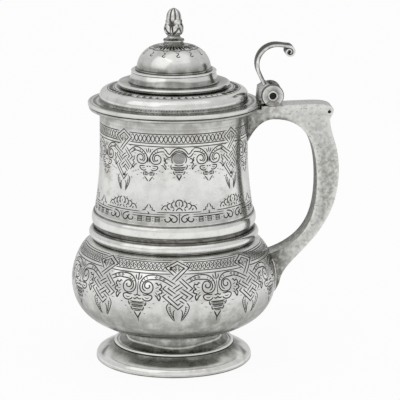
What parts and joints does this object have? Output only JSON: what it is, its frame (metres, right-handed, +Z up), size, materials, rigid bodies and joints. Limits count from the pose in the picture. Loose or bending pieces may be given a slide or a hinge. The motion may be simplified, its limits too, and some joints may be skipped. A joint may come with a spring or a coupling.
{
  "type": "lidded tankard",
  "caption": "Engraved silver tankard with a tapering barrel over a bulbous bowl, spreading foot, hollow handle, and a stepped domed lid on a knuckle hinge with a scrolled thumbpiece.",
  "frame": {"origin": "centre of the foot's resting plane, on the vessel's axis", "axes": "+Z up the vessel's axis, +X from the axis towards the handle, +Y away from the side with the vent hole"},
  "size_m": [0.1573, 0.121, 0.21],
  "materials": {
    "silver_raised": "aged polished silver sheet with oxidised engraving",
    "silver_wire": "burnished silver wire",
    "silver_handle": "satin worn silver sheet",
    "silver_cast": "cast silver, dark in its recesses",
    "silver_oxidised": "dark oxidised silver"
  },
  "bodies": {
    "vessel": {"bowl": "silver_raised", "barrel": "silver_raised", "lip_wire": "silver_wire", "lower_waist_band": "silver_wire", "upper_waist_band": "silver_wire", "foot": "silver_raised", "foot_rim_wire": "silver_wire", "foot_bead_wire": "silver_wire", "handle_near_side": "silver_handle", "handle_far_side": "silver_handle", "handle_inner_strap": "silver_handle", "handle_back_strap": "silver_handle", "handle_top_plate": "silver_handle", "hinge_near_disc": "silver_cast", "hinge_far_disc": "silver_cast", "hinge_centre_knuckle": "silver_cast", "hinge_pin": "silver_oxidised"},
    "lid": {"lid_flange": "silver_raised", "lid_edge_wire": "silver_wire", "lid_bead_ring": "silver_wire", "lid_bezel": "silver_raised", "lid_drum": "silver_raised", "lid_dome": "silver_raised", "finial_collar": "silver_cast", "finial_bud": "silver_cast", "finial_stud": "silver_oxidised", "finial_nut": "silver_oxidised", "lid_lug": "silver_cast", "thumbpiece": "silver_cast"}
  },
  "joints": [
    {"name": "lid_hinge", "type": "hinge", "parent": "vessel", "child": "lid", "pos_m": [0.0572, 0, 0.1587], "axis": [0, 1, 0], "range_deg": [0, 72]}
  ]
}
